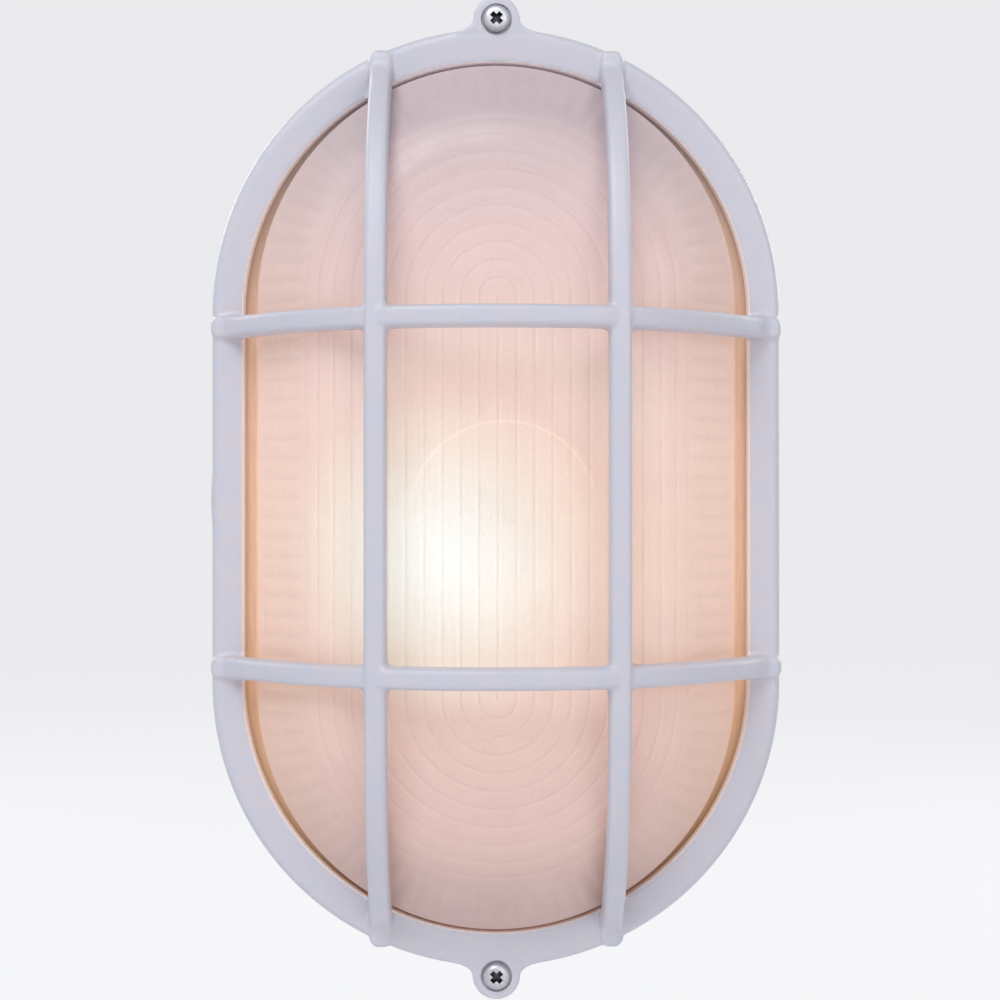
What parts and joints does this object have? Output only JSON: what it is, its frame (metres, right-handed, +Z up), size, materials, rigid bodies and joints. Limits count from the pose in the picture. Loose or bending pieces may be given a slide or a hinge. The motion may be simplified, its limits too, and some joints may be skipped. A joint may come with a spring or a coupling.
{
  "type": "outdoor wall light",
  "caption": "Oval die-cast outdoor wall light with a ribbed frosted glass dome, a white caged guard ring held by two screws, a vertical lamp inside and side conduit entries.",
  "frame": {"origin": "centre of the housing's flat back on the wall", "axes": "+Z up along the oval's length, -Y out from the wall into the room, +X to the viewer's right"},
  "size_m": [0.1656, 0.1045, 0.2814],
  "materials": {
    "painted_casting": "satin white paint on cast aluminium",
    "frosted_glass": "pressed glass, frosted inside",
    "black_rubber": "matte",
    "zinc_steel": "zinc plated",
    "white_enamel": "gloss white stove enamel",
    "porcelain": "glazed",
    "nickel_brass": "nickel plated",
    "opal_lamp": "opal, lit",
    "white_nylon": "moulded",
    "brass": "bright",
    "brown_sleeve": "moulded sleeve",
    "blue_sleeve": "moulded sleeve",
    "green_sleeve": "moulded sleeve"
  },
  "bodies": {
    "base": {"base_housing": "painted_casting", "lens_gasket": "black_rubber", "reflector_plate": "white_enamel", "reflector_screw_left": "zinc_steel", "reflector_screw_right": "zinc_steel", "lampholder_bracket": "zinc_steel", "bracket_screw_left": "zinc_steel", "bracket_screw_right": "zinc_steel", "holder_screw_left": "zinc_steel", "holder_screw_right": "zinc_steel", "lampholder_body": "porcelain", "lampholder_sleeve": "nickel_brass", "lampholder_contact": "nickel_brass", "terminal_block": "white_nylon", "terminal_block_screw": "zinc_steel", "terminal_screw_1": "brass", "terminal_screw_2": "brass", "terminal_screw_3": "brass", "earth_screw": "brass", "lead_live": "brown_sleeve", "lead_neutral": "blue_sleeve", "lead_earth": "green_sleeve", "cable_grommet": "black_rubber", "conduit_plug_left": "painted_casting", "conduit_plug_right": "painted_casting", "plug_seal_left": "black_rubber", "plug_seal_right": "black_rubber"},
    "cover": {"guard_cover": "painted_casting", "glass_lens": "frosted_glass", "guard_gasket": "black_rubber"},
    "cover_screw_top": {"cover_screw_top": "zinc_steel"},
    "cover_screw_bottom": {"cover_screw_bottom": "zinc_steel"},
    "lamp": {"lamp": "opal_lamp"}
  },
  "joints": [
    {"name": "cover_lift", "type": "slide", "parent": "base", "child": "cover", "axis": [0, -1, 0], "range_m": [0, 0.08]},
    {"name": "cover_screw_top_turn", "type": "hinge", "parent": "cover", "child": "cover_screw_top", "pos_m": [0, -0.055, 0.134], "axis": [0, -1, 0], "continuous": true},
    {"name": "cover_screw_bottom_turn", "type": "hinge", "parent": "cover", "child": "cover_screw_bottom", "pos_m": [0, -0.055, -0.134], "axis": [0, -1, 0], "continuous": true},
    {"name": "lamp_turn", "type": "hinge", "parent": "base", "child": "lamp", "pos_m": [0, -0.052, 0], "axis": [0, 0, 1], "continuous": true}
  ]
}
